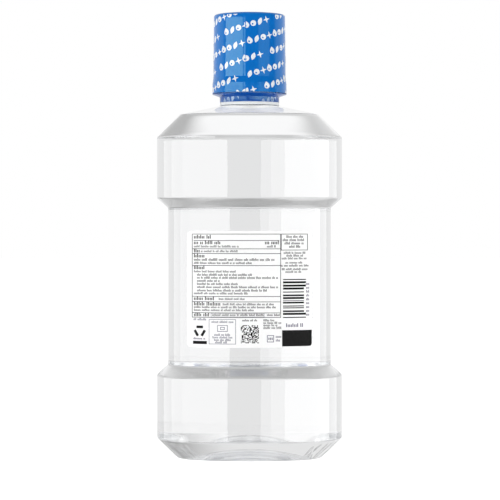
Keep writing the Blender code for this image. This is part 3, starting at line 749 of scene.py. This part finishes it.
# Shrink film printed blue: glassy and tight, with fine upright draw lines, over a colour that lets no light
# through. The lower film lies in the cap's shade: its blue is painted darker than the cap film's as painted
# shade, and a lower IOR makes it mirror less, as painted shade too.
DRAW_LINE, DRAW_LENGTH = 0.9 * MM, 14 * MM
UNPRINTED_Z, RAGGED, CLEAR_SHARE = hem_low.z + 1.5 * MM, 0.15 * MM, 0.1
for film, body, node, deep, light, film_ior in (
    (cap_film, "cap", "cap_band", "#006BC4", "#0675D0", 1.53),
    # Painted shade: the neck film's blue is darker, and its IOR lower, for the shade under the cap
    (neck_film, "bottle", "neck_band", "#0C469A", "#1655AC", 1.35),
):
    sleeve_film, place, surface = new_material("blue_shrink_film_" + body)
    stretch = (1 / DRAW_LINE, 1 / DRAW_LINE, 1 / DRAW_LENGTH)
    long_way = add(sleeve_film, "Mapping", {"Scale": stretch}, {"Vector": place})
    lines = add(sleeve_film, "TexNoise", {"Scale": 1.0, "Detail": 2.0}, {"Vector": long_way.outputs[0]})
    tint = add(
        sleeve_film,
        "Mix",
        {6: colour(deep), 7: colour(light)},
        {0: lines.outputs["Fac"]},
        data_type="RGBA",
    )
    drawn = add(
        sleeve_film, "Bump", {"Strength": 0.12, "Distance": 0.05 * MM}, {"Height": lines.outputs["Fac"]}
    )
    spot = add(sleeve_film, "SeparateXYZ", links={0: place})
    bare = add(
        sleeve_film, "MapRange", {1: UNPRINTED_Z + RAGGED, 2: UNPRINTED_Z - RAGGED}, {0: spot.outputs["Z"]}
    )
    hem = add(
        sleeve_film,
        "Mix",
        {7: colour("#FAFBFC")},
        {0: bare.outputs[0], 6: tint.outputs[2]},
        data_type="RGBA",
    )
    clearness = add(sleeve_film, "Math", {1: CLEAR_SHARE}, {0: bare.outputs[0]}, operation="MULTIPLY")
    glassy = add(
        sleeve_film,
        "BsdfPrincipled",
        {
            "Roughness": 0.1,
            "IOR": film_ior,
            "Specular Tint": colour("#BCFFDA"),
            "Coat Weight": 0.15,
            "Coat Roughness": 0.03,
        },
        {
            "Base Color": hem.outputs[2],
            "Transmission Weight": clearness.outputs[0],
            "Normal": drawn.outputs["Normal"],
        },
    )
    sleeve_film.node_tree.links.new(glassy.outputs["BSDF"], surface)
    coat_with(film, sleeve_film, body)
    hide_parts(node)


# The film's print is a plain pattern in white: rows of drops, leaves, bubbles and sparkles that climb round
# it. It is cut off at the seam, at the tear line and where the film rolls in over the top. On the lower film
# the white ink is painted grey-blue, as painted shade from the cap.
ROW_RISE = math.radians(15.9)
ROW_SPACING, MOTIF_PITCH, MOTIF_RADIUS = 9.1 * MM, 4.0 * MM, 1.6 * MM
MOTIFS = ("drop", "leaf", "bubble", "sparkle", "drop", "bubble", "leaf", "sparkle", "")
FIRST_MOTIF, MOTIFS_SKIPPED_A_ROW = 0.4 * MM, 4
CIRCLE_SIDES, SPARKLE_SIDES = 20, 8
DROP_NARROWING_SHARE, DROP_TIP_SHARE = 0.75, 1.5
LEAF_WIDTH_SHARE, LEAF_NARROWING_SHARE, LEAF_LENGTH_SHARE = 0.75, 0.6, 1.35
LEAF_LEAN = math.radians(-35)
SPARKLE_WAIST_SHARE, SPARKLE_TIP_SHARE = 0.42, 1.3
GLINT_SHARE, GLINT_PLACE = 0.3, Vector((-0.3, -0.2, 0))
PRINT_OFF, PRINT_OVERRUN, PRINT_STEP = 0.03 * MM, 2 * MM, 1 * MM
SEAM_MARGIN, TEAR_MARGIN, ROLL_MARGIN = 0.1 * MM, 0.1 * MM, 1.1 * MM
HEM_MARGIN, TUCK_MARGIN = 0.2 * MM, 0.3 * MM
SLEEVE_LENGTH = FULL_TURN * SIDE_RADIUS


def motif(mesh, kind, at):
    """One flat motif of the film's print. Drops and bubbles have a glint left open."""
    glint = kind in ("bubble", "drop")
    made, loops = [], []
    for inner in (False, True)[: 1 + glint]:
        sides = SPARKLE_SIDES if kind == "sparkle" else CIRCLE_SIDES
        verts = bmesh.ops.create_circle(mesh, cap_ends=not glint, segments=sides, radius=1)["verts"]
        loops += {edge for vert in verts for edge in vert.link_edges}
        made += verts
        for index, vert in enumerate(verts):
            x, y, _ = vert.co
            if kind == "drop":
                x *= 1 - max(0, y) ** 2 * DROP_NARROWING_SHARE
                y *= DROP_TIP_SHARE if y > 0 else 1
            elif kind == "leaf":
                x *= LEAF_WIDTH_SHARE * (1 - y**2 * LEAF_NARROWING_SHARE)
                y *= LEAF_LENGTH_SHARE
            elif kind == "sparkle":
                reach = SPARKLE_WAIST_SHARE if index % 2 else SPARKLE_TIP_SHARE
                x, y = x * reach, y * reach
            vert.co = Vector((x, y, 0)) * GLINT_SHARE + GLINT_PLACE if inner else Vector((x, y, 0))
            vert.co *= MOTIF_RADIUS
    if glint:
        bmesh.ops.bridge_loops(mesh, edges=loops)
    if kind == "leaf":
        bmesh.ops.rotate(mesh, verts=made, cent=(0, 0, 0), matrix=Matrix.Rotation(LEAF_LEAN, 3, "Z"))
    bmesh.ops.transform(mesh, verts=made, matrix=at)


def radius_at(points, z):
    """The film's radius at this height."""
    for low, high in zip(points, points[1:]):
        if low.y <= z <= high.y and high.y > low.y:
            return low.x + (high.x - low.x) * (z - low.y) / (high.y - low.y)
    return points[-1].x


def cut_flat(mesh, place, way, outside_off=False):
    """Cuts a flat mesh along a plane, and takes off what lies beyond it where that is asked for."""
    geom = mesh.verts[:] + mesh.edges[:] + mesh.faces[:]
    bmesh.ops.bisect_plane(mesh, geom=geom, dist=WELD, plane_co=place, plane_no=way, clear_outer=outside_off)


for name, body, points, low_z, high_z, thin_ink, full_ink in (
    (
        "cap_film_print",
        "cap",
        cap_outline,
        cap_low.z + TEAR_MARGIN,
        cap_high.z - ROLL_MARGIN,
        "#E9F1FA",
        "#FFFFFF",
    ),
    # Painted shade: the neck print's white ink is painted grey-blue for the cap's shade above it
    (
        "neck_film_print",
        "bottle",
        neck_outline,
        UNPRINTED_Z + HEM_MARGIN,
        DRAWN_IN_Z - TUCK_MARGIN,
        "#7E9DC6",
        "#96B2D6",
    ),
):
    mesh = bmesh.new()
    row_start = low_z - SLEEVE_LENGTH * math.tan(ROW_RISE) - 2 * ROW_SPACING
    row_start = cap_low.z + ROW_SPACING * math.floor((row_start - cap_low.z) / ROW_SPACING)
    row = 0
    while row_start < high_z:
        along, step = FIRST_MOTIF + MOTIF_PITCH / 2 * (row % 2), MOTIFS_SKIPPED_A_ROW * row
        while along * math.cos(ROW_RISE) < SLEEVE_LENGTH:
            across, up = along * math.cos(ROW_RISE), row_start + along * math.sin(ROW_RISE)
            kind = MOTIFS[step % len(MOTIFS)]
            if kind and low_z - PRINT_OVERRUN < up < high_z + PRINT_OVERRUN:
                motif(mesh, kind, Matrix.Translation((across, up, 0)) @ Matrix.Rotation(ROW_RISE, 4, "Z"))
            along += MOTIF_PITCH
            step += 1
        row_start += ROW_SPACING
        row += 1
    cut_flat(mesh, (0, low_z, 0), (0, -1, 0), True)
    cut_flat(mesh, (0, high_z, 0), (0, 1, 0), True)
    cut_flat(mesh, (SEAM_MARGIN, 0, 0), (-1, 0, 0), True)
    cut_flat(mesh, (SLEEVE_LENGTH - SEAM_MARGIN, 0, 0), (1, 0, 0), True)
    for cut in range(1, round(SLEEVE_LENGTH / PRINT_STEP)):
        cut_flat(mesh, (cut * PRINT_STEP, 0, 0), (1, 0, 0))
    for z in sorted({point.y for point in points}):
        if low_z < z < high_z:
            cut_flat(mesh, (0, z, 0), (0, 1, 0))
    for vert in mesh.verts:
        turn, z = SEAM_ANGLE + vert.co.x / SIDE_RADIUS, vert.co.y
        radius = radius_at(points, z)
        vert.co = shrunk(radius * math.sin(turn), -radius * math.cos(turn), z, PRINT_OFF)
    printed = piece(name, backed(mesh, PRINT_OFF + FILM / 2))
    white, place, surface = new_material(name + "_white_ink")
    mottle = add(white, "TexNoise", {"Scale": 1 / INK_MOTTLE, "Detail": 3.0}, {"Vector": place})
    tint = add(
        white,
        "Mix",
        {6: colour(thin_ink), 7: colour(full_ink)},
        {0: mottle.outputs["Fac"]},
        data_type="RGBA",
    )
    glassy = add(
        white,
        "BsdfPrincipled",
        {"Roughness": 0.15, "IOR": 1.53, "Coat Weight": 0.5, "Coat Roughness": 0.03},
        {"Base Color": tint.outputs[2]},
    )
    white.node_tree.links.new(glassy.outputs["BSDF"], surface)
    coat_with(printed, white, body)


# The camera stands 1.18 m away at the height of the label, as the curves of the photographed edges show.
# Its frame is the photograph's, shifted a little so that the bottle stands where it does there.
CAMERA_AWAY, CAMERA_Z = 1176 * MM, 131.7 * MM
LENS, SENSOR = 151.8, 36
FRAME_SIDE, PIXELS_RIGHT, PIXELS_DOWN = 500, 0.5, 30

camera_data = bpy.data.cameras.new("camera")
camera_data.lens = LENS
camera_data.sensor_width = SENSOR
camera_data.shift_x = PIXELS_RIGHT / FRAME_SIDE
camera_data.shift_y = -PIXELS_DOWN / FRAME_SIDE
camera = bpy.data.objects.new("camera", camera_data)
camera.location = (0, -CAMERA_AWAY, CAMERA_Z)
camera.rotation_euler = (math.radians(90), 0, 0)
bpy.context.scene.collection.objects.link(camera)
bpy.context.scene.camera = camera


# The floor is matt white and keeps the bottle's faint shadow. What the clear bottle shows of it is not lit but
# a
# painted glow: a painted bright pool behind, painted dusk round that, painted shade about the foot, and the
# paleness of the surround painted under the foot, in a ring about it, and where the view through the bottle
# meets the floor very flat or steep.
FLOOR_REACH, FLOOR_SPLIT = 6, 50 * MM
FLOOR_GLOW, SURROUND = 0.80, 0.77
POOL_MIDDLE, POOL_REACH, POOL_END = (0, 750 * MM, 0), 140 * MM, 310 * MM
POOL_GLOW, LEFT_SHADE, RIGHT_SHADE, NEAR_SHADE = 0.98, 0.32, 0.44, 0.38
DUSK_SIDE = -110 * MM
NEAR_END, FAR_START = 120 * MM, 200 * MM
FOOT_REACH, FOOT_END = 60 * MM, 100 * MM
RING_START, RING_END, RING_RISE, RING_FALL = 125 * MM, 230 * MM, 15 * MM, 30 * MM
DIM_SIDE_START, DIM_SIDE_END = 50 * MM, 140 * MM
SKIM_START, SKIM_FULL = 0.85, 0.885
STEEP_START, STEEP_FULL = 0.70, 0.55
STEEPEST_START, STEEPEST_FULL = 0.56, 0.53

floor_paint, place, surface = new_material("white_floor")
ray = add(floor_paint, "LightPath")
matt = add(floor_paint, "BsdfDiffuse", {"Color": colour("#D0D0D0")})
glow = add(floor_paint, "Emission", {"Strength": FLOOR_GLOW})
lit = add(floor_paint, "AddShader", links={0: matt.outputs[0], 1: glow.outputs[0]})
spot = add(floor_paint, "SeparateXYZ", links={0: place})
# Painted light and shade, shown only through the bottle: dusk at the sides, a bright pool behind, shade near
# the foot
dusk = add(
    floor_paint,
    "MapRange",
    {1: DUSK_SIDE, 2: 0, 3: RIGHT_SHADE, 4: LEFT_SHADE},
    {0: spot.outputs["X"]},
)
away = add(floor_paint, "VectorMath", {1: POOL_MIDDLE}, {0: place}, operation="DISTANCE")
painted_pool = add(
    floor_paint,
    "MapRange",
    {1: POOL_REACH, 2: POOL_END, 3: POOL_GLOW},
    {0: away.outputs["Value"], 4: dusk.outputs[0]},
    interpolation_type="SMOOTHSTEP",
)
reach = add(floor_paint, "VectorMath", links={0: place}, operation="LENGTH").outputs["Value"]
far = add(floor_paint, "MapRange", {1: NEAR_END, 2: FAR_START}, {0: reach})
shade = add(floor_paint, "Mix", {2: NEAR_SHADE}, {0: far.outputs[0], 3: painted_pool.outputs[0]})
facing = add(floor_paint, "LayerWeight", {"Blend": 0.5}).outputs["Facing"]
skimming = add(floor_paint, "MapRange", {1: SKIM_START, 2: SKIM_FULL}, {0: facing})
steep = add(floor_paint, "MapRange", {1: STEEP_START, 2: STEEP_FULL}, {0: facing})
steepest = add(floor_paint, "MapRange", {1: STEEPEST_START, 2: STEEPEST_FULL}, {0: facing})
side = add(floor_paint, "MapRange", {1: DIM_SIDE_END, 2: DIM_SIDE_START}, {0: spot.outputs["X"]})
far_side = add(floor_paint, "Math", links={0: side.outputs[0], 1: far.outputs[0]}, operation="MULTIPLY")
steep_far = add(
    floor_paint, "Math", links={0: steep.outputs[0], 1: far_side.outputs[0]}, operation="MULTIPLY"
)
under_foot = add(floor_paint, "MapRange", {1: FOOT_END, 2: FOOT_REACH}, {0: reach})
past = add(floor_paint, "MapRange", {1: RING_START, 2: RING_START + RING_RISE}, {0: reach})
within = add(floor_paint, "MapRange", {1: RING_END, 2: RING_END - RING_FALL}, {0: reach})
ring = add(floor_paint, "Math", links={0: past.outputs[0], 1: within.outputs[0]}, operation="MULTIPLY")
near = add(floor_paint, "Math", links={0: under_foot.outputs[0], 1: ring.outputs[0]}, operation="MAXIMUM")
either = add(
    floor_paint, "Math", links={0: skimming.outputs[0], 1: steep_far.outputs[0]}, operation="MAXIMUM"
)
bright = add(floor_paint, "Math", links={0: either.outputs[0], 1: near.outputs[0]}, operation="MAXIMUM")
level = add(floor_paint, "Mix", {3: SURROUND}, {0: bright.outputs[0], 2: shade.outputs[0]})
full = add(floor_paint, "Math", links={0: steepest.outputs[0], 1: far_side.outputs[0]}, operation="MULTIPLY")
painted_floor_glow = add(floor_paint, "Mix", {3: 1.0}, {0: full.outputs[0], 2: level.outputs[0]})
# Through the bottle the floor shows this painted glow instead of its lit colour
through = add(floor_paint, "Emission", links={"Strength": painted_floor_glow.outputs[0]})
seen = add(
    floor_paint,
    "MixShader",
    links={0: ray.outputs["Is Transmission Ray"], 1: lit.outputs[0], 2: through.outputs[0]},
)
floor_paint.node_tree.links.new(seen.outputs[0], surface)
for name, way in (("floor_behind", 1), ("floor_before", -1)):
    floor_mesh = bmesh.new()
    bmesh.ops.create_grid(floor_mesh, x_segments=2, y_segments=2, size=FLOOR_REACH)
    other_half = [vert for vert in floor_mesh.verts if vert.co.y * way < 0]
    bmesh.ops.delete(floor_mesh, geom=other_half, context="VERTS")
    bmesh.ops.translate(floor_mesh, verts=floor_mesh.verts[:], vec=(0, -FLOOR_SPLIT, 0))
    floor = piece(name, floor_mesh)
    floor.data.materials.append(floor_paint)
    floor.visible_glossy = False
    floor.visible_shadow = False
    floor.visible_transmission = way > 0


# Tall soft boxes stand round the bottle and show only as the upright bands that it mirrors. Two high ones
# also light what is matt. Their angles run round the bottle from the camera's side towards +X.
LIGHT_AWAY, LIGHT_LOW, LIGHT_HIGH = 1300 * MM, -180 * MM, 232 * MM
HIGH_LOW, HIGH_TOP = 265 * MM, 420 * MM
WATTS_PER_AREA = 4
SOFT_BOXES = (
    ("soft_box_left", -64, -10.3, 2.45, LIGHT_LOW, LIGHT_HIGH),
    ("soft_box_left_edge", -90, -64, 2.0, LIGHT_LOW, LIGHT_HIGH),
    ("soft_box_far_left", -118, -90, 1.1, LIGHT_LOW, LIGHT_HIGH),
    ("soft_box_middle_edge", 4, 10, 1.3, LIGHT_LOW, LIGHT_HIGH),
    ("soft_box_middle", 10, 21, 2.0, LIGHT_LOW, LIGHT_HIGH),
    ("soft_box_right", 21, 95, 3.4, LIGHT_LOW, LIGHT_HIGH),
    ("soft_box_far_right", 95, 125, 1.1, LIGHT_LOW, LIGHT_HIGH),
    ("soft_box_high_left", -82, -20, 2.6, HIGH_LOW, HIGH_TOP),
    ("soft_box_high_right", 28, 66, 0.6, HIGH_LOW, HIGH_TOP),
)
for name, from_angle, to_angle, radiance, low, high in SOFT_BOXES:
    turns = (math.radians(from_angle), math.radians(to_angle))
    ends = [Vector((math.sin(turn), -math.cos(turn), 0)) * LIGHT_AWAY for turn in turns]
    lamp = bpy.data.lights.new(name, "AREA")
    lamp.shape = "RECTANGLE"
    lamp.size = (ends[1] - ends[0]).length
    lamp.size_y = high - low
    lamp.energy = WATTS_PER_AREA * radiance * lamp.size * lamp.size_y
    panel = bpy.data.objects.new(name, lamp)
    middle = (ends[0] + ends[1]) / 2
    panel.location = (middle.x, middle.y, (low + high) / 2)
    panel.rotation_euler = middle.to_track_quat("Z", "Y").to_euler()
    panel.visible_camera = False
    panel.visible_transmission = False
    panel.visible_diffuse = low > LIGHT_LOW
    bpy.context.scene.collection.objects.link(panel)


# The surround is white to the camera and one plain level to what is matt. Through the bottle it is pale low
# down, darker at the right, grey above an edge that rises to both sides, and white overhead. Mirrored, it is
# white but for a dark band before the bottle. Its places are parts of the view's direction.
AMBIENT = 0.55
ABOVE, ABOVE_ASIDE, CORNER, CEILING = 0.325, 0.42, 0.22, 1.0
ASIDE_END = 0.10
EDGE_RISE, EDGE_START, EDGE_FULL = 0.24, 0.305, 0.325
CORNER_LOW, CORNER_HIGH, CORNER_LEFT, CORNER_RIGHT = 0.17, 0.22, 0.06, 0.36
CEILING_START, CEILING_FULL = 0.50, 0.70
SHINE, DARK_ROOM = 0.9, 0.08
BAND_LOW, BAND_LOW_FULL, BAND_HIGH, BAND_HIGH_FULL = 0.044, 0.050, 0.60, 0.50
BEHIND, BEFORE = 0.10, -0.10

world = bpy.data.worlds.new("surround")
bpy.context.scene.world = world
world.use_nodes = True
world.node_tree.nodes.clear()
ray = add(world, "LightPath")
way = add(world, "SeparateXYZ", links={0: add(world, "TexCoord").outputs["Generated"]})
wide = add(world, "Math", links={0: way.outputs["X"]}, operation="ABSOLUTE")
lifted = add(
    world,
    "Math",
    {1: -EDGE_RISE},
    {0: wide.outputs[0], 2: way.outputs["Z"]},
    operation="MULTIPLY_ADD",
)
raised = add(world, "MapRange", {1: CORNER_LOW, 2: CORNER_HIGH}, {0: way.outputs["Z"]})
aside = add(world, "MapRange", {1: CORNER_LEFT, 2: CORNER_RIGHT}, {0: way.outputs["X"]})
cornered = add(world, "Math", links={0: raised.outputs[0], 1: aside.outputs[0]}, operation="MULTIPLY")
below = add(world, "Mix", {2: SURROUND, 3: CORNER}, {0: cornered.outputs[0]})
above = add(world, "MapRange", {1: 0.0, 2: ASIDE_END, 3: ABOVE, 4: ABOVE_ASIDE}, {0: wide.outputs[0]})
fade = add(
    world,
    "MapRange",
    {1: EDGE_START, 2: EDGE_FULL},
    {0: lifted.outputs[0], 3: below.outputs[0], 4: above.outputs[0]},
)
ceiling = add(
    world,
    "MapRange",
    {1: CEILING_START, 2: CEILING_FULL},
    {0: way.outputs["Z"]},
    interpolation_type="SMOOTHSTEP",
)
around = add(world, "Mix", {3: CEILING}, {0: ceiling.outputs[0], 2: fade.outputs[0]})
over = add(world, "MapRange", {1: BAND_LOW, 2: BAND_LOW_FULL}, {0: way.outputs["Z"]})
under = add(world, "MapRange", {1: BAND_HIGH, 2: BAND_HIGH_FULL}, {0: way.outputs["Z"]})
before = add(world, "MapRange", {1: BEHIND, 2: BEFORE}, {0: way.outputs["Y"]})
band = add(world, "Math", links={0: over.outputs[0], 1: under.outputs[0]}, operation="MULTIPLY")
dark = add(world, "Math", links={0: band.outputs[0], 1: before.outputs[0]}, operation="MULTIPLY")
mirrored = add(world, "Mix", {2: SHINE, 3: DARK_ROOM}, {0: dark.outputs[0]})
shine = add(world, "Mix", {2: AMBIENT}, {0: ray.outputs["Is Glossy Ray"], 3: mirrored.outputs[0]})
through = add(
    world,
    "Mix",
    links={0: ray.outputs["Is Transmission Ray"], 2: shine.outputs[0], 3: around.outputs[0]},
)
seen = add(world, "Mix", {3: 1.0}, {0: ray.outputs["Is Camera Ray"], 2: through.outputs[0]})
backdrop = add(world, "Background", {"Color": colour("#FFFFFF")}, {"Strength": seen.outputs[0]})
add(world, "OutputWorld", links={0: backdrop.outputs[0]})


# Light that goes through full, glass-clear walls crosses a dozen surfaces and more. Glass isn't blurred for
# light that comes from a matt surface, or else the label's back, lit through the bottle, would turn grey.
BOUNCES = 64
bpy.context.scene.cycles.max_bounces = BOUNCES
bpy.context.scene.cycles.transmission_bounces = BOUNCES
bpy.context.scene.cycles.glossy_bounces = BOUNCES
bpy.context.scene.cycles.blur_glossy = 0
bpy.context.scene.view_settings.view_transform = "Standard"
